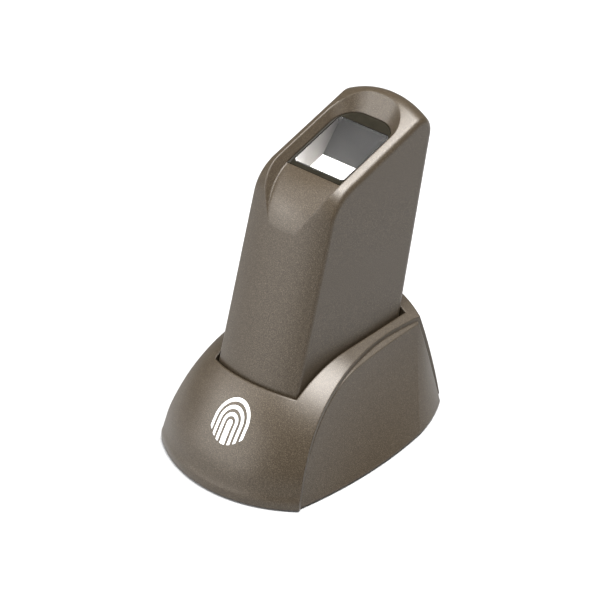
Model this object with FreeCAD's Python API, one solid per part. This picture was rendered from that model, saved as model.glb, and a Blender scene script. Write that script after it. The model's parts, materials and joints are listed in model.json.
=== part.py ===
import FreeCAD, Part
import os
from math import cos, radians, sin, sqrt, tan

V = FreeCAD.Vector
os.makedirs("parts", exist_ok=True)

# Desktop fingerprint scanner standing in a weighted stand. Millimetres, +Z up, front towards -Y.
# The origin is on the table under the middle of the stand.

# ---- stand outline ----
front_radius = 38.0        # plan radius of the hood front, about the origin
hood_height = 32.0         # crown of the hood above the table
crown_power = 2.2          # shape of the hood profile: plan exponent
drop_power = 1.54          # shape of the hood profile: height exponent
rear_axis_y = -4.6         # axis of the rounded rear wall
rear_radius_low = 42.6     # rear wall radius at the table
rear_radius_mid = 39.3     # rear wall radius at half height
rear_radius_high = 33.6    # rear wall radius at the crown
cheek_out = 13.7           # cheeks at the table, outside the scanner's side
cheek_recess = 1.2         # how far the cheeks lie below the hood surface
cheek_rim_out = 4.5        # cheek rims at the middle, outside the scanner's side
shell_wall = 2.0
shell_lift = 0.5           # gap between shell edge and table

# ---- scanner body ----
lean_angle = 14.25         # backward lean of the scanner
axis_y = -4.19             # where the scanner axis meets the table
body_width = 27.0          # at the bottom of the body
front_depth = 20.5         # front corner edge to the axis, at the table
rear_depth = 19.84         # rear corner edge to the axis, at the table
front_taper = 3.2          # the front leans in by this angle
rear_taper = 1.2           # the rear leans in by this angle
side_taper = 0.4           # each side leans in by this angle, from the bottom of the body
front_bow = 3.09           # rise of the front face between its edges
rear_bow = 0.8
body_bottom = 17.5         # bottom of the body along its axis
housing_wall = 1.8
edge_round = 1.0           # vertical front corners
top_round = 2.1            # edges along the top and down the rear corners
rear_top_round = 4.8       # rear edge of the top
ridge_round = 12.0         # bend from the front face to the top

# ---- finger window ----
glass_along = 79.54        # glass centre along the axis
glass_across = -1.35       # glass centre behind the axis
glass_pitch = 30.25        # rise of the glass towards the back, from square to the axis
glass_width = 16.1
glass_length = 18.2
glass_corner = 1.0
top_rise = 4.2             # crown of the top over the glass
bezel_width = 17.8
bezel_front = 10.7         # bezel front edge from the glass centre
bezel_rear = 12.8
bezel_corner = 6.4
side_draft = 0.68          # channel wall, outwards per mm of height
rear_draft = 1.15          # scoop wall, backwards per mm of height
corner_draft = 0.6
channel_proud = 0.03       # channel floor over the glass
channel_land = 1.5         # level floor in front of the bezel, before the bend

# ---- fits ----
front_gap = 0.86           # scanner to slot, in front
rear_gap = 0.35            # scanner to slot, behind
side_gap = 0.5             # scanner to slot, each side
rest_gap = 0.3             # scanner to the pocket pads
fit_gap = 0.15
seat_gap = 0.05

# ---- stand inside ----
pocket_wall = 1.5
pad_thick = 0.8
plate_thick = 2.0
foot_radius = 5.0
foot_sink = 0.6
ballast_bottom = 3.2
ballast_top = 8.4
boss_radius = 3.0
screw_radius = 1.25
screw_head_radius = 2.4
screw_head_thick = 1.2
front_boss_out = 4.1       # boss axis outside the scanner's side
front_boss_y = -22.6
rear_boss_out = 6.1
rear_boss_y = 13.5
pad_in = 4.5               # pad middle inside the scanner's side
ballast_screw_spot = (11.0, 4.0)
front_foot = (13.0, -12.0)
rear_foot = (14.2, 20.4)
cable_slot_width = 6.4
cable_slot_height = 8.0
cable_way_width = 8.0      # way for the cord through the plate and the weight
cable_way_front = 0.5      # where that way starts, and runs to the rear
notch_width = 10.4         # opening in the pocket under the cable inlet

# ---- cable inlet ----
gland_across = 9.0         # gland axis behind the scanner axis
gland_radius = 3.1
gland_bore = 1.9
gland_drop = 2.0           # gland below the cap
gland_length = 8.0

# ---- inside the scanner ----
prism_depth = 12.0
prism_low = glass_along - prism_depth       # the levels of the optics follow the prism
prism_rear_land = 1.5
prism_floor_front = -6.0
prism_floor_rear = 0.5
prism_front_land = 3.0
seal_width = 0.3           # seal round the glass
seal_top = 0.25            # seal top under the glass
seal_low = 1.4
bezel_lip = 0.9            # flange under the housing wall
bezel_flange_low = 2.9
plate_gap = 0.2
side_plate_thick = 0.6
chassis_wall = 1.4
chassis_front = -9.0
chassis_rear = 14.6
chassis_low = prism_low - 17.54
diffuser_thick = 1.0
led_board_gap = 3.0        # under the diffuser
led_height = 0.8
mask_thick = 0.8
mask_window = 3.2
board_thick = 1.2
lens_across = 10.6
mirror_across = 10.6
mirror_level = prism_low + 7.86
mirror_thick = 1.0
mirror_length = 7.2
mirror_width = 14.8
lens_low = prism_low - 11.54
lens_high = lens_low + 8.0
lens_radius = 3.4
barrel_wall = 0.7
lens_stop = 1.6
lens_ball = 6.0            # radius of each lens face
lens_thick = 1.6
sensor_level = prism_low - 21.54
sensor_size = 6.8
sensor_thick = 1.3
sensor_screw_spot = (7.4, 5.6)
flex_width = 6.0
flex_thick = 0.3
flex_fold_across = -6.6    # where the flat lead turns down
flex_fold_level = sensor_level - 4.4
flex_low = 34.0
usb_chip = (-3.0, 7.0, 43.6, 53.6, 1.2)      # x0, x1, z0, z1 and height
memory_size = (-8.8, -4.0, 33.6, 39.6, 1.0)
crystal_size = (-8.8, -4.0, 45.6, 50.0, 1.6)
connector_size = (-5.4, 5.4, 23.4, 27.2, 3.6)
small_capacitor = (1.6, 0.8, 0.8)            # along x, along z and height
small_capacitor_spots = (-8.6, -6.0, -3.4, -0.8, 1.8)
small_capacitor_level = 29.0
tall_capacitor_spot = (6.4, 35.6)
tall_capacitor_radius = 2.2
tall_capacitor_height = 4.6
main_board_across = -13.2
main_board_low = 23.0
main_board_high = 62.0
board_screw_x = 7.6
board_screw_level = 57.0
board_head_radius = 2.0
board_head_thick = 1.0
cap_thick = 2.5
cap_boss_gap = 0.3         # screw head to the housing wall
cap_boss_front = -5.0
cap_boss_rear = 10.0
cap_boss_top = 31.0


def lean_placement():
    turn = FreeCAD.Rotation(V(1, 0, 0), -lean_angle)
    return FreeCAD.Placement(V(0, axis_y, 0), turn)


def glass_placement():
    turn = FreeCAD.Rotation(V(1, 0, 0), glass_pitch)
    return FreeCAD.Placement(V(0, glass_across, glass_along), turn)


def moved(shape, placement):
    """A copy of shape carried along by a placement."""
    result = shape.copy()
    result.Placement = placement.multiply(shape.Placement)
    return result


def on_body(shape):
    return moved(shape, lean_placement())


def on_glass(shape):
    return moved(shape, glass_placement())


def box(x0, x1, y0, y1, z0, z1):
    return Part.makeBox(x1 - x0, y1 - y0, z1 - z0, V(x0, y0, z0))


def rod(radius, x, y, z0, z1):
    return Part.makeCylinder(radius, z1 - z0, V(x, y, z0), V(0, 0, 1))


def fuse_all(shapes):
    return shapes[0].multiFuse(shapes[1:]).removeSplitter()


def edges_through(shape, points):
    """The edges of shape that pass through the given points."""
    found = []
    for point in points:
        spot = Part.Vertex(point)
        found.append(min(shape.Edges, key=lambda edge: edge.distToShape(spot)[0]))
    return found


def both_sides(*spots):
    """Each spot on the right and its mirror image on the left."""
    return [(side * x, y) for x, y in spots for side in (-1, 1)]


def slab_along_x(points, half_width):
    """A solid of constant section in X from (y, z) corners."""
    corners = [V(-half_width, y, z) for y, z in points]
    face = Part.Face(Part.makePolygon(corners + corners[:1]))
    return face.extrude(V(2 * half_width, 0, 0))


def rounded_plate(width, y0, y1, z0, z1, corner):
    """A flat plate with round vertical corners."""
    plate = box(-width / 2, width / 2, y0, y1, z0, z1)
    upright = [edge for edge in plate.Edges if abs(edge.tangentAt(edge.FirstParameter).z) > 0.9]
    return plate.makeFillet(corner, upright)


# ---- scanner body form ----

def bow_radius(bow):
    half = body_width / 2
    return (half * half + bow * bow) / (2 * bow)


def body_section(level, inset, front_extra=0.0, rear_extra=0.0, side_extra=0.0):
    """Closed outline of the body square to its axis, with bowed front and rear."""
    half = body_width / 2 - inset + side_extra - (level - body_bottom) * tan(radians(side_taper))
    front_shrink = level * tan(radians(front_taper))
    rear_shrink = level * tan(radians(rear_taper))
    front_r = bow_radius(front_bow)
    rear_r = bow_radius(rear_bow)
    front_centre = -(front_depth + front_bow - front_shrink) - front_extra + front_r
    rear_centre = rear_depth + rear_bow - rear_shrink + rear_extra - rear_r
    front_y = front_centre - sqrt((front_r - inset) ** 2 - half * half)
    rear_y = rear_centre + sqrt((rear_r - inset) ** 2 - half * half)
    front_mid = V(0, front_centre - front_r + inset, level)
    rear_mid = V(0, rear_centre + rear_r - inset, level)
    corners = [V(-half, front_y, level), V(half, front_y, level),
               V(half, rear_y, level), V(-half, rear_y, level)]
    edges = [Part.Arc(corners[0], front_mid, corners[1]).toShape(),
             Part.makeLine(corners[1], corners[2]),
             Part.Arc(corners[2], rear_mid, corners[3]).toShape(),
             Part.makeLine(corners[3], corners[0])]
    return Part.Wire(edges)


def body_column(low, high, inset):
    sections = [body_section(low, inset), body_section(high, inset)]
    return Part.makeLoft(sections, True, True)


def straight_column(low, high, grow):
    """The slot outline, grown by a wall thickness, carried straight along the axis."""
    outline = body_section(body_bottom, 0.0, front_gap + grow, rear_gap + grow, side_gap + grow)
    outline.translate(V(0, 0, low - body_bottom))
    return Part.Face(outline).extrude(V(0, 0, high - low))


def arched_top(inset):
    """Everything under the bowed top, which rises towards the back with the glass."""
    reach = 16.0
    radius = bow_radius(front_bow) - inset
    crown = top_rise - inset
    edge_height = crown - radius + sqrt(radius * radius - reach * reach)
    left = V(-reach, -60, edge_height)
    right = V(reach, -60, edge_height)
    arc = Part.Arc(left, V(0, -60, crown), right).toShape()
    low_right = V(reach, -60, -140)
    low_left = V(-reach, -60, -140)
    outline = Part.Wire([arc, Part.makeLine(right, low_right), Part.makeLine(low_right, low_left),
                         Part.makeLine(low_left, left)])
    return on_glass(Part.Face(outline).extrude(V(0, 120, 0)))


def ridge_point(inset):
    """Where the middle of the front face meets the middle of the top."""
    slope = tan(radians(front_taper))
    rise = tan(radians(glass_pitch))
    front_at_zero = -(front_depth + front_bow) + inset / cos(radians(front_taper))
    top_at_axis = glass_along - glass_across * rise + (top_rise - inset) / cos(radians(glass_pitch))
    level = (top_at_axis + front_at_zero * rise) / (1 - slope * rise)
    return V(0, front_at_zero + slope * level, level)


def rear_top_point(inset):
    """Where the middle of the rear face meets the middle of the top."""
    slope = tan(radians(rear_taper))
    rise = tan(radians(glass_pitch))
    rear_at_zero = rear_depth + rear_bow - inset / cos(radians(rear_taper))
    top_at_axis = glass_along - glass_across * rise + (top_rise - inset) / cos(radians(glass_pitch))
    level = (top_at_axis + rear_at_zero * rise) / (1 + slope * rise)
    return V(0, rear_at_zero - slope * level, level)


def body_form(inset, low):
    column = body_column(low, 110.0, inset)
    form = column.common(arched_top(inset))
    form = form.makeFillet(ridge_round - inset, edges_through(form, [ridge_point(inset)]))
    return form.makeFillet(rear_top_round - inset, edges_through(form, [rear_top_point(inset)]))


# ---- finger channel ----

def channel_plan(height, grow):
    """Outline of the finger channel at a height over the glass."""
    half = bezel_width / 2 + grow + side_draft * height
    rear = bezel_rear + grow + rear_draft * height
    corner = bezel_corner + corner_draft * height
    front = -45.0
    inner = half - corner
    turn = corner * sqrt(0.5)
    points = [V(half, front, height), V(half, rear - corner, height),
              V(inner + turn, rear - corner + turn, height), V(inner, rear, height),
              V(-inner, rear, height), V(-inner - turn, rear - corner + turn, height),
              V(-half, rear - corner, height), V(-half, front, height)]
    edges = [Part.makeLine(points[0], points[1]),
             Part.Arc(points[1], points[2], points[3]).toShape(),
             Part.makeLine(points[3], points[4]),
             Part.Arc(points[4], points[5], points[6]).toShape(),
             Part.makeLine(points[6], points[7]),
             Part.makeLine(points[7], points[0])]
    return Part.Wire(edges)


def channel_floor(grow):
    """Everything under the channel floor: the bowed front bends back to the level of the glass."""
    inset = grow - channel_proud
    turn = radians(90 - front_taper - glass_pitch)
    slope = tan(radians(front_taper))
    rise = tan(radians(glass_pitch))
    front_at_zero = -(front_depth + front_bow) + inset / cos(radians(front_taper))
    plane_at_axis = glass_along - glass_across * rise - inset / cos(radians(glass_pitch))
    level = (plane_at_axis + front_at_zero * rise) / (1 - slope * rise)
    corner = V(0, front_at_zero + slope * level, level)
    reach = (glass_across - corner.y) / cos(radians(glass_pitch)) - bezel_front - channel_land
    below = on_glass(box(-40, 40, -60, 60, -90, -inset))
    form = body_column(body_bottom, 110.0, inset).common(below)
    return form.makeFillet(reach / tan(turn / 2), edges_through(form, [corner]))


def finger_channel(grow):
    plans = [channel_plan(-9.0, grow), channel_plan(6.0, grow)]
    trough = on_glass(Part.makeLoft(plans, True, True))
    return trough.cut(channel_floor(grow))


def bezel_outline(grow, low, high):
    """The flat window panel: square in front, round at the rear."""
    half = bezel_width / 2 + grow
    rear = bezel_rear + grow
    plate = box(-half, half, -bezel_front - grow, rear, low, high)
    corners = [edge for edge in plate.Edges
               if abs(edge.tangentAt(edge.FirstParameter).z) > 0.9 and edge.CenterOfMass.y > 0]
    return plate.makeFillet(bezel_corner + grow, corners)


# ---- scanner parts, in the body frame (Z along the leaning axis) ----

def cap_boss_spots():
    x = body_width / 2 - housing_wall - screw_head_radius - cap_boss_gap
    return both_sides((x, cap_boss_front), (x, cap_boss_rear))


def scanner_form():
    """The outside of the scanner: narrow front corners that widen over the bend to the top."""
    form = body_form(0.0, body_bottom)
    ridge = ridge_point(0.0)
    bends = [V(side * body_width / 2, ridge.y + front_bow, ridge.z - top_rise) for side in (-1, 1)]
    return form.makeFillet(edge_round, top_round, edges_through(form, bends))


def scanner_housing():
    form = scanner_form()
    cavity = body_form(housing_wall, body_bottom - 1.0).cut(finger_channel(housing_wall))
    shell = form.cut(finger_channel(0.0)).cut(cavity)
    bosses = [rod(boss_radius, x, y, body_bottom + cap_thick + fit_gap, cap_boss_top)
              for x, y in cap_boss_spots()]
    shell = fuse_all([shell] + [boss.common(form) for boss in bosses])
    for x, y in cap_boss_spots():
        shell = shell.cut(rod(screw_radius, x, y, body_bottom, cap_boss_top - 2.0))
    return shell.cut(on_glass(bezel_outline(fit_gap, -6.0, 6.0)))


def window_bezel():
    panel = bezel_outline(0.0, -bezel_flange_low, 0.0)
    flange = bezel_outline(bezel_lip, -bezel_flange_low, -housing_wall - fit_gap)
    edge = seal_width + seat_gap
    opening = rounded_plate(glass_width + 2 * edge, -glass_length / 2 - edge, glass_length / 2 + edge,
                            -bezel_flange_low - 1, 1.0, glass_corner + edge)
    return on_glass(fuse_all([panel, flange]).cut(opening))


def window_seal():
    outer = rounded_plate(glass_width + 2 * seal_width, -glass_length / 2 - seal_width,
                          glass_length / 2 + seal_width, -seal_low, -seal_top, glass_corner + seal_width)
    inner = rounded_plate(glass_width + 2 * seat_gap, -glass_length / 2 - seat_gap,
                          glass_length / 2 + seat_gap, -seal_low - 1, 1.0, glass_corner + seat_gap)
    return on_glass(outer.cut(inner))


def platen_prism():
    half = glass_length / 2
    profile = [(-half, 0.0), (half, 0.0), (half, -prism_rear_land),
               (prism_floor_rear, -prism_depth), (prism_floor_front, -prism_depth),
               (-half, -prism_front_land)]
    prism = slab_along_x(profile, glass_width / 2)
    corners = rounded_plate(glass_width, -half, half, -prism_depth - 1, 1.0, glass_corner)
    return on_glass(prism.common(corners))


def aperture_plate():
    """Black mask lying on the slanted rear face of the prism, with the imaging window."""
    half = glass_length / 2
    run = half - prism_floor_rear
    drop = prism_depth - prism_rear_land
    bezel_clearance = bezel_flange_low + plate_gap - prism_rear_land
    length = sqrt(run * run + drop * drop)
    normal = (drop / length, -run / length)
    low = (prism_floor_rear + normal[0] * seat_gap, -prism_depth + normal[1] * seat_gap)
    top = (half + normal[0] * seat_gap - bezel_clearance * run / drop,
           -prism_rear_land - bezel_clearance + normal[1] * seat_gap)
    profile = [top, low, (low[0] + normal[0] * mask_thick, low[1] + normal[1] * mask_thick),
               (top[0] + normal[0] * mask_thick, top[1] + normal[1] * mask_thick)]
    plate = slab_along_x(profile, glass_width / 2)
    middle = V(0, (top[0] + low[0]) / 2, (top[1] + low[1]) / 2)
    across = V(0, normal[0], normal[1])
    window = Part.makeCylinder(mask_window, 4 * mask_thick, middle - across, across)
    return on_glass(plate.cut(window))


def light_diffuser():
    top = -prism_depth - seat_gap
    return on_glass(box(-glass_width / 2, glass_width / 2, prism_floor_front, prism_floor_rear,
                        top - diffuser_thick, top))


def prism_side_plates():
    """Thin white reflectors beside the prism, under the bezel."""
    half = glass_length / 2
    top = bezel_flange_low + plate_gap
    slope = (half - prism_floor_rear) / (prism_depth - prism_rear_land)
    profile = [(-half, -top), (half - (top - prism_rear_land) * slope, -top),
               (prism_floor_rear, -prism_depth), (prism_floor_front, -prism_depth)]
    sheet = slab_along_x(profile, side_plate_thick / 2)
    plates = []
    for side in (-1, 1):
        plate = sheet.copy()
        plate.translate(V(side * (glass_width / 2 + seat_gap + side_plate_thick / 2), 0, 0))
        plates.append(plate)
    return on_glass(Part.makeCompound(plates))


def led_board_top():
    return -(prism_depth + seat_gap + diffuser_thick + led_board_gap)


def led_board():
    top = led_board_top()
    return on_glass(box(-glass_width / 2, glass_width / 2, prism_floor_front - 2.2, prism_floor_rear + 1.7,
                        top - board_thick, top))


def led_array():
    low = led_board_top()
    middle = (prism_floor_front + prism_floor_rear) / 2
    lights = [box(x - 0.8, x + 0.8, y - 0.5, y + 0.5, low, low + led_height)
              for x in (-5.4, -1.8, 1.8, 5.4) for y in (middle - 1.7, middle + 1.7)]
    return on_glass(Part.makeCompound(lights))


def chassis_half():
    return glass_width / 2 + seat_gap + side_plate_thick + plate_gap


def optic_chassis():
    """Black frame: two side plates joined by the lens holder, a front web and a board shelf."""
    inner = chassis_half()
    outer = inner + chassis_wall
    profile = [(chassis_front, chassis_low), (chassis_front, 66.5), (14.0, 78.2),
               (chassis_rear, chassis_low)]
    sides = slab_along_x(profile, outer).cut(box(-inner, inner, -30, 30, 0, 120))
    holder = box(-outer, outer, lens_across - 4.0, chassis_rear, lens_low + 1.0, lens_low + 5.0)
    web = box(-outer, outer, chassis_front, chassis_front + 1.6, chassis_low, chassis_low + 8.0)
    shelf = box(-outer, outer, 4.4, chassis_rear, chassis_low, chassis_low + chassis_wall)
    light_path = rod(lens_radius - 0.4, 0, lens_across, chassis_low - 1, lens_low + 4.0)
    seat_half = mirror_length / 2 - 0.4
    seat = box(-outer, outer, -seat_half, seat_half, mirror_thick + seat_gap, 2.0)
    frame = fuse_all([sides, holder, web, shelf, moved(seat, mirror_placement())]).cut(light_path)
    frame = frame.cut(rod(lens_radius + seat_gap, 0, lens_across, lens_low, lens_high + 6.0))
    under_bezel = on_glass(box(-20, 20, -40, 40, -bezel_flange_low - plate_gap, 30))
    return frame.cut(under_bezel)


def mirror_placement():
    turn = FreeCAD.Rotation(V(1, 0, 0), -45)
    return FreeCAD.Placement(V(0, mirror_across, mirror_level), turn)


def fold_mirror():
    half = mirror_length / 2
    mirror = box(-mirror_width / 2, mirror_width / 2, -half, half, 0.0, mirror_thick)
    return moved(mirror, mirror_placement())


def lens_barrel():
    tube = rod(lens_radius, 0, lens_across, lens_low + 1.0, lens_high)
    tube = tube.cut(rod(lens_radius - barrel_wall, 0, lens_across, lens_low, lens_high + 1))
    lip = rod(lens_radius, 0, lens_across, lens_high - barrel_wall, lens_high)
    return fuse_all([tube, lip.cut(rod(lens_stop, 0, lens_across, lens_low, lens_high + 1))])


def lens_element(middle):
    """A biconvex lens: the part shared by two large spheres."""
    offset = lens_ball - lens_thick / 2
    low_ball = Part.makeSphere(lens_ball, V(0, lens_across, middle - offset))
    high_ball = Part.makeSphere(lens_ball, V(0, lens_across, middle + offset))
    rim = rod(lens_radius - barrel_wall - seat_gap, 0, lens_across, lens_low, lens_high)
    return low_ball.common(high_ball).common(rim)


def lens_elements():
    return Part.makeCompound([lens_element(lens_low + 3.2), lens_element(lens_low + 5.9)])


def light_filter():
    return rod(lens_radius - 0.5, 0, lens_across, lens_low - 0.1, lens_low + 1.0 - seat_gap)


def image_sensor():
    top = sensor_level + board_thick
    half = sensor_size / 2
    return box(-half, half, lens_across - half, lens_across + half, top, top + sensor_thick)


def sensor_board():
    board = box(-chassis_half(), chassis_half(), 3.4, chassis_rear, sensor_level, sensor_level + board_thick)
    x, y = sensor_screw_spot
    for side in (-1, 1):
        board = board.cut(rod(screw_radius, side * x, y, sensor_level - 1, sensor_level + 3))
    return board


def main_board():
    board = box(-10.2, 10.2, main_board_across, main_board_across + board_thick,
                main_board_low, main_board_high)
    for side in (-1, 1):
        start = V(side * board_screw_x, main_board_across - 1, board_screw_level)
        board = board.cut(Part.makeCylinder(screw_radius, 4.0, start, V(0, 1, 0)))
    return board


def on_board(x0, x1, z0, z1, thick):
    face = main_board_across + board_thick
    return box(x0, x1, face, face + thick, z0, z1)


def board_capacitors():
    face = main_board_across + board_thick
    long, wide, high = small_capacitor
    level = small_capacitor_level
    pieces = [on_board(x, x + long, level, level + wide, high) for x in small_capacitor_spots]
    x, z = tall_capacitor_spot
    pieces.append(Part.makeCylinder(tall_capacitor_radius, tall_capacitor_height, V(x, face, z), V(0, 1, 0)))
    return Part.makeCompound(pieces)


def clock_crystal():
    can = on_board(*crystal_size)
    upright = [edge for edge in can.Edges if abs(edge.tangentAt(edge.FirstParameter).y) > 0.9]
    return can.makeFillet(1.6, upright)


def cable_connector():
    """Open-fronted header on the board, its mouth towards the cable inlet."""
    x0, x1, z0, z1, high = connector_size
    wall = 0.8
    mouth = on_board(x0 + wall, x1 - wall, z0 - 1, z1 - wall, high + 1)
    floor = on_board(x0, x1, z0 - 1, z1, wall)
    return on_board(*connector_size).cut(mouth.cut(floor))


def sensor_flex():
    """Flat lead from the sensor board to the main board, with two folds."""
    face = main_board_across + board_thick
    low = sensor_level - seat_gap - flex_thick
    fold = flex_fold_across
    turn = flex_fold_level
    path = [(8.0, low), (fold, low), (fold - 1.4, turn), (face + flex_thick, turn - 1.4),
            (face + flex_thick, flex_low), (face + seat_gap, flex_low), (face + seat_gap, turn - 1.2),
            (fold - 1.6, turn + 0.4), (fold - 0.3, low + flex_thick), (8.0, low + flex_thick)]
    return slab_along_x(path, flex_width / 2)


def bottom_cap():
    inset = housing_wall + fit_gap
    low = body_section(body_bottom, inset)
    high = body_section(body_bottom + cap_thick, inset)
    cap = Part.makeLoft([low, high], True, True)
    for x, y in cap_boss_spots():
        cap = cap.cut(rod(screw_radius + fit_gap, x, y, body_bottom - 1, 30))
        head_top = body_bottom + screw_head_thick
        cap = cap.cut(rod(screw_head_radius + fit_gap, x, y, body_bottom - 1, head_top))
    return cap.cut(rod(gland_radius - 0.7, 0, gland_across, body_bottom - 1, 30))


def cable_gland():
    """Rubber grommet, clipped round the cap by its groove."""
    low = body_bottom - gland_drop
    body = rod(gland_radius, 0, gland_across, low, low + gland_length)
    ring = rod(gland_radius + 1, 0, gland_across, body_bottom - seat_gap, body_bottom + cap_thick + seat_gap)
    groove = ring.cut(rod(gland_radius - 0.75, 0, gland_across, low, low + gland_length))
    return body.cut(groove).cut(rod(gland_bore, 0, gland_across, low - 1, low + gland_length + 1))


def screw(x, y, head_low, length, shank):
    head = rod(screw_head_radius, x, y, head_low, head_low + screw_head_thick)
    slot = rod(0.9, x, y, head_low - 0.1, head_low + 0.7)
    return fuse_all([head, rod(shank, x, y, head_low + screw_head_thick, head_low + length)]).cut(slot)


def cap_screws():
    screws = [screw(x, y, body_bottom, 9.0, screw_radius - seat_gap) for x, y in cap_boss_spots()]
    return Part.makeCompound(screws)


def board_screws():
    screws = []
    for side in (-1, 1):
        face = V(side * board_screw_x, main_board_across - seat_gap, board_screw_level)
        head = Part.makeCylinder(board_head_radius, board_head_thick, face, V(0, -1, 0))
        shank = Part.makeCylinder(screw_radius - seat_gap, 4.2, face, V(0, 1, 0))
        screws.append(fuse_all([head, shank]))
    return Part.makeCompound(screws)


def chassis_screws():
    screws = []
    x, y = sensor_screw_spot
    face = sensor_level - seat_gap
    for side in (-1, 1):
        head = rod(board_head_radius, side * x, y, face - board_head_thick, face)
        shank = rod(screw_radius - seat_gap, side * x, y, face, chassis_low - seat_gap)
        screws.append(fuse_all([head, shank]))
    return Part.makeCompound(screws)


# ---- stand form ----

def dome_height(share, inset):
    return (hood_height - inset) * (1 - share ** crown_power) ** (1 / drop_power)


def dome_curve(inset):
    """Right half of the hood section: flat crown, then a quickening fall to the table."""
    shares = (0.0, 0.2, 0.38, 0.54, 0.68, 0.80, 0.89, 0.95, 0.985, 1.0)
    radius = front_radius - inset
    points = [V(share * radius, 0, dome_height(share, inset)) for share in shares]
    curve = Part.BSplineCurve()
    curve.interpolate(points, InitialTangent=V(1, 0, 0), FinalTangent=V(0, 0, -1))
    return curve.toShape()


def dome(inset):
    """Hood volume: turned in front, carried straight back behind, closed by the turned rear wall."""
    radius = front_radius - inset
    top = V(0, 0, hood_height - inset)
    edge = dome_curve(inset)
    floor = -2.0
    outline = Part.Wire([edge, Part.makeLine(V(radius, 0, 0), V(radius, 0, floor)),
                         Part.makeLine(V(radius, 0, floor), V(0, 0, floor)),
                         Part.makeLine(V(0, 0, floor), top)])
    half = Part.Face(outline)
    front = half.revolve(V(0, 0, 0), V(0, 0, 1), -180)
    right = half.extrude(V(0, 60, 0))
    left = right.mirror(V(0, 0, 0), V(1, 0, 0))
    body = fuse_all([front, right, left])
    low = V(rear_radius_low - inset, 0, 0)
    middle = V(rear_radius_mid - inset, 0, 14.4)
    high = V(rear_radius_high - inset, 0, 33.0)
    wall = Part.Wire([Part.makeLine(V(low.x, 0, floor), low), Part.Arc(low, middle, high).toShape(),
                      Part.makeLine(high, V(0, 0, 33.0)), Part.makeLine(V(0, 0, 33.0), V(0, 0, floor)),
                      Part.makeLine(V(0, 0, floor), V(low.x, 0, floor))])
    rear = Part.Face(wall).revolve(V(0, 0, 0), V(0, 0, 1), 360)
    rear.translate(V(0, rear_axis_y, 0))
    return body.common(rear)


def hood_width_prism():
    """Plan of the hood strip: wide in front, narrow beside the scanner, a little wider at the rear."""
    side = body_width / 2
    plan = ((11.9, -34), (10.5, -29), (9.0, -24.4), (7.6, -19.4), (6.2, -12.8), (3.9, 0), (2.7, 9),
            (2.6, 17.5), (3.2, 25), (4.7, 34.5), (5.7, 40))
    points = [V(side + out, y, 0) for out, y in plan]
    others = [V(-p.x, p.y, p.z) for p in points]
    right = Part.BSplineCurve()
    right.interpolate(points)
    left = Part.BSplineCurve()
    left.interpolate(others)
    front_left = V(-side - 16.5, -45, 0)
    front_right = V(side + 16.5, -45, 0)
    outline = Part.Wire([right.toShape(), Part.makeLine(points[-1], others[-1]), left.toShape(),
                         Part.makeLine(others[0], front_left), Part.makeLine(front_left, front_right),
                         Part.makeLine(front_right, points[0])])
    prism = Part.Face(outline).extrude(V(0, 0, 50))
    prism.translate(V(0, 0, -5))
    return prism


def cheek_outline(share, inset):
    """Plan of the side cheeks; share runs from 0 at the crown to 1 at the table."""
    side = body_width / 2
    half = side + cheek_out
    level = hood_height * (1 - sqrt(share))
    ends = [((side + 10.4, -38.5), (half - 6.5, -38.5)), ((side + cheek_rim_out, -1.5), (half, -0.5)),
            ((side + 3.6, 24.9), (half - 1.0, 16.0)), ((side + 3.3, 28.0), (half - 4.0, 26.0)),
            ((side + 2.1, 31.0), (half - 9.0, 35.0))]
    plan = []
    for high, low in ends:
        x = high[0] + (low[0] - high[0]) * share - inset
        y = high[1] + (low[1] - high[1]) * share
        plan.append(V(x, y, level))
    other = [V(-p.x, p.y, p.z) for p in plan]
    edges = [Part.Arc(plan[0], plan[1], plan[2]).toShape(), Part.Arc(plan[2], plan[3], plan[4]).toShape(),
             Part.makeLine(plan[4], other[4]), Part.Arc(other[4], other[3], other[2]).toShape(),
             Part.Arc(other[2], other[1], other[0]).toShape(), Part.makeLine(other[0], plan[0])]
    return Part.Wire(edges)


def cheeks(inset):
    shares = (1.0, 0.62, 0.34, 0.14, 0.03, 0.0)
    body = Part.makeLoft([cheek_outline(share, inset) for share in shares], True, False)
    foot = Part.Face(cheek_outline(1.0, inset)).extrude(V(0, 0, -2.0))
    return body.fuse(foot).removeSplitter()


def stand_inside(inset):
    """Space inside the stand, a wall's thickness in from both hood and cheeks."""
    return cheeks(inset).common(dome(cheek_recess + inset))


def stand_solid():
    recessed = dome(cheek_recess)
    strip = dome(0.0).common(hood_width_prism()).cut(recessed)
    return fuse_all([strip, cheeks(0.0).common(recessed)])


def above(level):
    return box(-60, 60, -60, 60, level, 90)


def boss_spots():
    side = body_width / 2
    return both_sides((side + front_boss_out, front_boss_y), (side + rear_boss_out, rear_boss_y))


def ballast_screw_spots():
    return both_sides(ballast_screw_spot)


def foot_spots():
    return both_sides(front_foot, rear_foot)


def cable_way():
    half = cable_way_width / 2
    return box(-half, half, cable_way_front, 60, -1, 20)


def cable_slot():
    half = cable_slot_width / 2
    slot = box(-half, half, 20, 50, -1, cable_slot_height)
    upper = [edge for edge in slot.Edges
             if abs(edge.tangentAt(edge.FirstParameter).y) > 0.9 and edge.CenterOfMass.z > 1]
    return slot.makeFillet(half - 0.2, upper)


def stand_shell():
    solid = stand_solid()
    plate_top = shell_lift + plate_thick
    shell = solid.cut(stand_inside(shell_wall))
    bosses = [rod(boss_radius, x, y, plate_top + fit_gap, 40).common(solid) for x, y in boss_spots()]
    opening = on_body(straight_column(10, 60, 0.0))
    shell = fuse_all([shell] + bosses).cut(opening).cut(cable_slot())
    for x, y in boss_spots():
        shell = shell.cut(rod(screw_radius, x, y, 0, 9.5))
    return shell.common(above(shell_lift))


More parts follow.
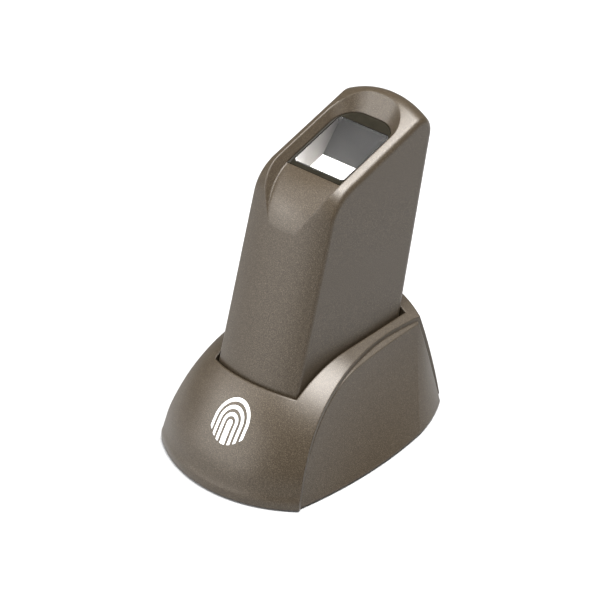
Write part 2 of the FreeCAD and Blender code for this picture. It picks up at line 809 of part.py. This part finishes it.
def cradle_pocket():
    low = body_bottom - rest_gap - pad_thick - pocket_wall
    outside = straight_column(low, 60, pocket_wall)
    inside = straight_column(low + pocket_wall, 70, 0.0)
    notch = box(-notch_width / 2, notch_width / 2, gland_across - 5.0, 40, low - 5, low + 9)
    cup = on_body(outside.cut(inside).cut(notch))
    return cup.common(stand_inside(shell_wall + seat_gap))


def pocket_pads():
    low = body_bottom - rest_gap - pad_thick
    pads = [box(x - 2.5, x + 2.5, y - 4.0, y + 4.0, low, low + pad_thick)
            for x, y in both_sides((body_width / 2 - pad_in, -11.0), (body_width / 2 - pad_in, 11.0))]
    return on_body(Part.makeCompound(pads))


def ballast_weight():
    slab = stand_inside(shell_wall + 0.8).common(box(-60, 60, -60, 60, ballast_bottom, ballast_top))
    for x, y in boss_spots():
        slab = slab.cut(rod(boss_radius + 0.5, x, y, 0, 20))
    for x, y in ballast_screw_spots():
        slab = slab.cut(rod(screw_radius, x, y, 0, 20))
    return slab.cut(cable_way())


def base_plate():
    low = shell_lift
    plate = stand_inside(shell_wall + fit_gap).common(box(-60, 60, -60, 60, low, low + plate_thick))
    for x, y in boss_spots() + ballast_screw_spots():
        plate = plate.cut(rod(screw_radius + fit_gap, x, y, -1, 9))
        plate = plate.cut(rod(screw_head_radius + fit_gap, x, y, -1, low + screw_head_thick))
    for x, y in foot_spots():
        plate = plate.cut(rod(foot_radius + fit_gap, x, y, -1, low + foot_sink))
    return plate.cut(cable_way())


def rubber_feet():
    return Part.makeCompound([rod(foot_radius, x, y, 0, shell_lift + foot_sink) for x, y in foot_spots()])


def base_screws():
    screws = [screw(x, y, shell_lift, 8.0, screw_radius - seat_gap) for x, y in boss_spots()]
    return Part.makeCompound(screws)


def ballast_screws():
    screws = [screw(x, y, shell_lift, 6.4, screw_radius - seat_gap) for x, y in ballast_screw_spots()]
    return Part.makeCompound(screws)


scanner_parts = {
    "scanner_housing": scanner_housing,
    "window_bezel": window_bezel,
    "window_seal": window_seal,
    "platen_prism": platen_prism,
    "aperture_plate": aperture_plate,
    "light_diffuser": light_diffuser,
    "prism_side_plates": prism_side_plates,
    "led_board": led_board,
    "led_array": led_array,
    "optic_chassis": optic_chassis,
    "fold_mirror": fold_mirror,
    "lens_barrel": lens_barrel,
    "lens_elements": lens_elements,
    "light_filter": light_filter,
    "image_sensor": image_sensor,
    "sensor_board": sensor_board,
    "main_board": main_board,
    "usb_controller": lambda: on_board(*usb_chip),
    "memory_chip": lambda: on_board(*memory_size),
    "clock_crystal": clock_crystal,
    "board_capacitors": board_capacitors,
    "cable_connector": cable_connector,
    "sensor_flex": sensor_flex,
    "bottom_cap": bottom_cap,
    "cable_gland": cable_gland,
    "cap_screws": cap_screws,
    "board_screws": board_screws,
    "chassis_screws": chassis_screws,
}

stand_parts = {
    "stand_shell": stand_shell,
    "cradle_pocket": cradle_pocket,
    "pocket_pads": pocket_pads,
    "ballast_weight": ballast_weight,
    "base_plate": base_plate,
    "base_screws": base_screws,
    "ballast_screws": ballast_screws,
    "rubber_feet": rubber_feet,
}

for name, make in scanner_parts.items():
    on_body(make()).exportStep("parts/" + name + ".step")

for name, make in stand_parts.items():
    make().exportStep("parts/" + name + ".step")
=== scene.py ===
import bmesh
import bpy
import json
from math import cos, radians, sin
from mathutils import Matrix, Vector


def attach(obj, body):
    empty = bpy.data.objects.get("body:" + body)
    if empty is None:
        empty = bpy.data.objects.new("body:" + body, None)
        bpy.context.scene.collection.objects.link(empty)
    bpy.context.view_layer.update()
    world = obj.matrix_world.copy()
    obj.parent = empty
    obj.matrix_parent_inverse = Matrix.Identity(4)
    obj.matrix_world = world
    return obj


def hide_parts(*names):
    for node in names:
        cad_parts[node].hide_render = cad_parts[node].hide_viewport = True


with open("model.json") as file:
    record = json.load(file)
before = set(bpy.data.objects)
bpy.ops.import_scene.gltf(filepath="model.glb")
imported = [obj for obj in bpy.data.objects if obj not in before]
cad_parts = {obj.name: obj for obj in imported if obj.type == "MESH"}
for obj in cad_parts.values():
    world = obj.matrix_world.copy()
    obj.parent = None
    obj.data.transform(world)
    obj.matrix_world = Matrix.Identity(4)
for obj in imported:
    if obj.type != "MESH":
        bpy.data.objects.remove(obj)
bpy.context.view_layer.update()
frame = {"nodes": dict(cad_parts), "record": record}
scene = bpy.context.scene

# Lengths are in metres. The scanner's own frame leans back with it, about its foot.
lean = radians(14.25)            # backward lean of the scanner
axis_y = -0.00419                # where its axis meets the table
pitch = radians(30.25)           # rise of the glass to the rear, in the scanner's own frame
glass_middle_y = -0.00135        # middle of the glass, in the same frame
glass_middle_z = 0.07954
glass_half_width = 0.00805
glass_half_length = 0.0091
prism_depth = 0.012

paint_grain = 5200.0             # noise scale of the flakes in the paint
paint_dark = (0.021, 0.013, 0.007)
paint_body = (0.038, 0.027, 0.015)
paint_flake = (0.115, 0.092, 0.064)
print_white = (0.80, 0.80, 0.79)
edge_round = 0.0005              # softened shading over the edges of the paint

mark_middle_x = 0.0016           # the printed sign, on the front of the hood
mark_middle_z = 0.0175
mark_half_width = 0.0052
mark_height = 0.0050
mark_arches = 22.0               # radians of the arch pattern from its middle to its rim
mark_foot = -0.95                # lower end of the bars, in mark heights
mark_foot_curve = 0.5            # how much that end rises to the sides

coat_warmth = (1.0, 0.97, 0.95)
side_shade_start = 0.0051        # where the painted shade on the frosted side of the prism starts
side_shade_length = 0.018


# ---- materials ----

def new_material(name):
    material = bpy.data.materials.new(name)
    material.use_nodes = True
    return material, material.node_tree.nodes["Principled BSDF"]


def new_node(material, kind):
    return material.node_tree.nodes.new(kind)


def link(material, source, target):
    material.node_tree.links.new(source, target)


def grey(value):
    return (value, value, value)


def noise(material, scale, detail=2.0, roughness=0.5):
    coords = new_node(material, "ShaderNodeTexCoord")
    node = new_node(material, "ShaderNodeTexNoise")
    node.inputs["Scale"].default_value = scale
    node.inputs["Detail"].default_value = detail
    node.inputs["Roughness"].default_value = roughness
    link(material, coords.outputs["Object"], node.inputs["Vector"])
    return node


def ramp(material, source, stops):
    node = new_node(material, "ShaderNodeValToRGB")
    elements = node.color_ramp.elements
    while len(elements) < len(stops):
        elements.new(0.5)
    for element, (place, colour) in zip(elements, stops):
        element.position = place
        element.color = (*colour, 1.0)
    link(material, source, node.inputs["Fac"])
    return node


def bump(material, shader, source, strength, distance):
    node = new_node(material, "ShaderNodeBump")
    node.inputs["Strength"].default_value = strength
    node.inputs["Distance"].default_value = distance
    link(material, source, node.inputs["Height"])
    link(material, node.outputs["Normal"], shader.inputs["Normal"])
    return node


def soften_edges(material, target, radius):
    """Rounds the shading over sharp edges, as a moulded part has."""
    node = new_node(material, "ShaderNodeBevel")
    node.samples = 6
    node.inputs["Radius"].default_value = radius
    link(material, node.outputs["Normal"], target.inputs["Normal"])


def maths(material, operation, first, second=None):
    node = new_node(material, "ShaderNodeMath")
    node.operation = operation
    for socket, value in zip(node.inputs, (first, second)):
        if value is None:
            continue
        if isinstance(value, float):
            socket.default_value = value
        else:
            link(material, value, socket)
    return node.outputs[0]


def object_axes(material):
    """The three object coordinates, each as a socket."""
    coords = new_node(material, "ShaderNodeTexCoord")
    split = new_node(material, "ShaderNodeSeparateXYZ")
    link(material, coords.outputs["Object"], split.inputs[0])
    return split.outputs


def print_mark(material):
    """A generic printed fingerprint sign: nested arches, as a mask over the hood front."""
    def do(operation, first, second=None):
        return maths(material, operation, first, second)

    x, y, z = object_axes(material)
    across = do("DIVIDE", do("SUBTRACT", x, mark_middle_x), mark_half_width)
    across_squared = do("MULTIPLY", across, across)
    up = do("DIVIDE", do("SUBTRACT", z, mark_middle_z), mark_height)
    over = do("MAXIMUM", up, 0.0)
    reach = do("SQRT", do("ADD", across_squared, do("MULTIPLY", over, over)))
    arches = do("GREATER_THAN", do("SINE", do("MULTIPLY", reach, mark_arches)), 0.0)
    inside = do("LESS_THAN", reach, 1.0)
    foot = do("ADD", do("MULTIPLY", across_squared, mark_foot_curve), mark_foot)
    above = do("GREATER_THAN", up, foot)
    front = do("LESS_THAN", y, 0.0)
    return do("MULTIPLY", do("MULTIPLY", arches, inside), do("MULTIPLY", above, front))


def metallic_paint(name, marked=False):
    material, shader = new_material(name)
    grain = noise(material, paint_grain, 2.0, 0.6)
    tint = ramp(material, grain.outputs["Fac"],
                [(0.30, paint_dark), (0.52, paint_body), (0.76, paint_flake)])
    colour = tint.outputs["Color"]
    if marked:
        mix = new_node(material, "ShaderNodeMixRGB")
        mix.inputs["Color2"].default_value = (*print_white, 1.0)
        link(material, colour, mix.inputs["Color1"])
        link(material, print_mark(material), mix.inputs["Fac"])
        colour = mix.outputs["Color"]
    link(material, colour, shader.inputs["Base Color"])
    shader.inputs["Metallic"].default_value = 0.2
    shader.inputs["Roughness"].default_value = 0.38
    shader.inputs["Specular IOR Level"].default_value = 0.52
    relief = bump(material, shader, grain.outputs["Fac"], 0.2, 0.00003)
    soften_edges(material, relief, edge_round)
    return material


def plain(name, low, high, roughness, scale=400.0, metallic=0.0, depth=0.00003, strength=0.2):
    """A colour that varies a little over the surface, with a fine texture."""
    material, shader = new_material(name)
    grain = noise(material, scale, 3.0)
    tint = ramp(material, grain.outputs["Fac"], [(0.3, low), (0.7, high)])
    link(material, tint.outputs["Color"], shader.inputs["Base Color"])
    shader.inputs["Roughness"].default_value = roughness
    shader.inputs["Metallic"].default_value = metallic
    bump(material, shader, grain.outputs["Fac"], strength, depth)
    return material


def clear_glass(name):
    material, shader = new_material(name)
    grain = noise(material, 90.0)
    tint = ramp(material, grain.outputs["Fac"], [(0.3, (0.93, 0.95, 0.95)), (0.7, (0.98, 0.99, 0.99))])
    link(material, tint.outputs["Color"], shader.inputs["Base Color"])
    shader.inputs["Roughness"].default_value = 0.02
    shader.inputs["IOR"].default_value = 1.5
    shader.inputs["Transmission Weight"].default_value = 1.0
    return material


def painted_glow_coat(material, shader, source, glow):
    """A matt coat with painted light: it gives off a little light of its own colour, a glow that stands in
    for the light reaching it through the glass.
    """
    link(material, source, shader.inputs["Base Color"])
    link(material, source, shader.inputs["Emission Color"])
    # painted light: this emission stands in for the light that reaches the face through the glass
    shader.inputs["Emission Strength"].default_value = glow
    shader.inputs["Roughness"].default_value = 0.6


def coated(name, low, high, glow):
    """The frosted or painted back of a prism face, in its own colour, with a painted glow that stands in for
    the light reaching it through the glass.
    """
    material, shader = new_material(name)
    grain = noise(material, 160.0)
    stops = [(place, [value * share for share in coat_warmth]) for place, value in ((0.3, low), (0.7, high))]
    tint = ramp(material, grain.outputs["Fac"], stops)
    painted_glow_coat(material, shader, tint.outputs["Color"], glow)
    return material


def painted_shade_side():
    """The frosted left face of the prism, with painted shade: bright in front, darker towards the rear, and
    a painted glow over it.
    """
    material, shader = new_material("prism_frosted_side_painted_shade")
    y = object_axes(material)[1]
    behind_start = maths(material, "SUBTRACT", y, side_shade_start)
    share = maths(material, "DIVIDE", behind_start, side_shade_length)
    # painted shade: the face darkens towards the rear, where less light reaches it
    tint = ramp(material, share, [
        (0.0, (0.60, 0.59, 0.57)),
        (0.30, (0.28, 0.265, 0.25)),
        (1.0, (0.05, 0.047, 0.044)),
    ])
    painted_glow_coat(material, shader, tint.outputs["Color"], 0.8)
    return material


looks = {
    "metallic_paint": metallic_paint("metallic_paint"),
    "gloss_black": plain("gloss_black", (0.008, 0.007, 0.004), (0.013, 0.011, 0.007), 0.12,
                         depth=0.000002),
    "black_rubber": plain("black_rubber", grey(0.015), grey(0.03), 0.75, 900.0),
    "prism_glass": clear_glass("prism_glass"),
    "black_plastic": plain("black_plastic", grey(0.014), grey(0.022), 0.5, 900.0),
    "white_plastic": plain("white_plastic", (0.80, 0.80, 0.79), (0.88, 0.88, 0.87), 0.45),
    "circuit_board": plain("circuit_board", (0.012, 0.09, 0.035), (0.02, 0.13, 0.05), 0.35, 300.0),
    "led_lens": plain("led_lens", (0.85, 0.85, 0.80), (0.92, 0.92, 0.88), 0.2),
    "mirror_coat": plain("mirror_coat", grey(0.88), grey(0.92), 0.04, metallic=1.0, depth=0.000001),
    "lens_glass": clear_glass("lens_glass"),
    "chip_black": plain("chip_black", grey(0.02), grey(0.035), 0.5, 1500.0),
    "crystal_can": plain("crystal_can", grey(0.62), grey(0.72), 0.25, 300.0, 1.0),
    "capacitor_can": plain("capacitor_can", (0.70, 0.70, 0.71), (0.80, 0.80, 0.81), 0.3, 300.0, 1.0),
    "connector_white": plain("connector_white", (0.76, 0.75, 0.70), (0.84, 0.83, 0.78), 0.4),
    "flex_film": plain("flex_film", (0.45, 0.23, 0.05), (0.55, 0.30, 0.07), 0.3, 200.0),
    "screw_steel": plain("screw_steel", grey(0.50), grey(0.64), 0.3, 500.0, 1.0),
    "ballast_iron": plain("ballast_iron", (0.10, 0.10, 0.105), (0.17, 0.17, 0.175), 0.6, 600.0, 0.6,
                          depth=0.0001, strength=0.6),
}

for part in frame["record"]["subparts"]:
    node = frame["nodes"][part["node"]]
    node.data.materials.clear()
    node.data.materials.append(looks[part["material_slot"]])

printed_paint = metallic_paint("metallic_paint_printed", marked=True)
frame["nodes"]["stand_shell"].data.materials[0] = printed_paint


# ---- the prism under the window, with its coated faces, their painted glow and painted shade ----

def glass_point(across, along, height):
    """A point by its place on the glass and its height over it, in the shared frame."""
    y = glass_middle_y + along * cos(pitch) - height * sin(pitch)
    z = glass_middle_z + along * sin(pitch) + height * cos(pitch)
    return Vector((across, axis_y + y * cos(lean) + z * sin(lean), -y * sin(lean) + z * cos(lean)))


def prism():
    rear_upright = 0.0015        # height of the upright face behind the glass
    front_upright = 0.003        # and of the one in front of it
    floor_rear = 0.0005          # the prism's floor, with a seam across it
    seam_rear = -0.00275
    seam_front = -0.0029
    floor_front = -0.006
    corner_round = 0.0009

    clear, dark, white, frosted, seam = range(5)
    # Place along the glass, height over it, and the coat of the face that runs on to the next point.
    outline = [
        (-glass_half_length, 0.0, clear),
        (glass_half_length, 0.0, dark),
        (glass_half_length, -rear_upright, dark),
        (floor_rear, -prism_depth, white),
        (seam_rear, -prism_depth, seam),
        (seam_front, -prism_depth, white),
        (floor_front, -prism_depth, white),
        (-glass_half_length, -front_upright, dark),
    ]
    shape = bmesh.new()
    left = [shape.verts.new(glass_point(-glass_half_width, along, height)) for along, height, _ in outline]
    right = [shape.verts.new(glass_point(glass_half_width, along, height)) for along, height, _ in outline]
    for index, (_, _, coat) in enumerate(outline):
        following = (index + 1) % len(outline)
        face = shape.faces.new((left[index], right[index], right[following], left[following]))
        face.material_index = coat
    shape.faces.new(left).material_index = frosted
    shape.faces.new(right).material_index = dark
    bmesh.ops.recalc_face_normals(shape, faces=shape.faces)
    corners = [shape.edges.get((side[upper], side[lower])) for upper, lower in ((1, 2), (0, 7))
               for side in (left, right)]
    bmesh.ops.bevel(shape, geom=corners, offset=corner_round, segments=4, affect="EDGES", profile=0.5)
    mesh = bpy.data.meshes.new("prism_optic")
    shape.to_mesh(mesh)
    shape.free()
    # each prism coat below carries a painted glow in place of the light through the glass
    for material in (looks["prism_glass"], coated("prism_dark_face", 0.042, 0.048, 0.75),
                     coated("prism_white_face", 0.93, 0.98, 0.9), painted_shade_side(),
                     coated("prism_seam", 0.45, 0.5, 0.8)):
        mesh.materials.append(material)
    piece = bpy.data.objects.new("prism_optic", mesh)
    scene.collection.objects.link(piece)
    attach(piece, "scanner")
    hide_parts("platen_prism")


prism()


# ---- floor, light and camera ----

def stage_floor():
    mesh = bpy.data.meshes.new("studio_floor")
    reach = 3.0
    corners = [(-reach, -reach, 0), (reach, -reach, 0), (reach, reach, 0), (-reach, reach, 0)]
    mesh.from_pydata(corners, [], [(0, 1, 2, 3)])
    floor = bpy.data.objects.new("studio_floor", mesh)
    scene.collection.objects.link(floor)
    material, shader = new_material("studio_floor")
    shader.inputs["Base Color"].default_value = (*grey(0.38), 1.0)
    shader.inputs["Roughness"].default_value = 0.9
    mesh.materials.append(material)


def studio_world():
    world = bpy.data.worlds.new("studio")
    world.use_nodes = True
    background = world.node_tree.nodes["Background"]
    background.inputs["Color"].default_value = (1, 1, 1, 1)
    background.inputs["Strength"].default_value = 0.22
    scene.world = world


def studio_camera():
    place = (0.36130, -0.40531, 0.39062)
    azimuth = radians(41.834)
    elevation = radians(32.928)
    roll = radians(-0.255)
    back = Vector((sin(azimuth) * cos(elevation), -cos(azimuth) * cos(elevation), sin(elevation)))
    right = Vector((cos(azimuth), sin(azimuth), 0.0))
    up = back.cross(right)
    right_rolled = right * cos(roll) + up * sin(roll)
    up_rolled = up * cos(roll) - right * sin(roll)
    data = bpy.data.cameras.new("camera")
    data.sensor_width = 36.0
    data.lens = 152.2
    data.clip_start = 0.01
    camera = bpy.data.objects.new("camera", data)
    turn = Matrix((right_rolled, up_rolled, back)).transposed()
    camera.matrix_world = Matrix.Translation(place) @ turn.to_4x4()
    scene.collection.objects.link(camera)
    scene.camera = camera


def area_light(name, place, size, power):
    """A rectangular light that faces the middle of the object."""
    target = Vector((0, 0, 0.04))
    data = bpy.data.lights.new(name, "AREA")
    data.shape = "RECTANGLE"
    data.size, data.size_y = size
    data.energy = power
    lamp = bpy.data.objects.new(name, data)
    lamp.location = place
    lamp.rotation_euler = (target - lamp.location).to_track_quat("-Z", "Y").to_euler()
    scene.collection.objects.link(lamp)


stage_floor()
studio_world()
studio_camera()
area_light("overhead", (0.20, 0.08, 0.93), (0.62, 0.62), 30.0)
area_light("left_panel", (-0.62, -0.42, 0.72), (0.8, 0.8), 6.0)
area_light("front_panel", (-0.55, -1.0, 0.45), (1.3, 0.9), 16.0)
scene.view_settings.view_transform = "Standard"
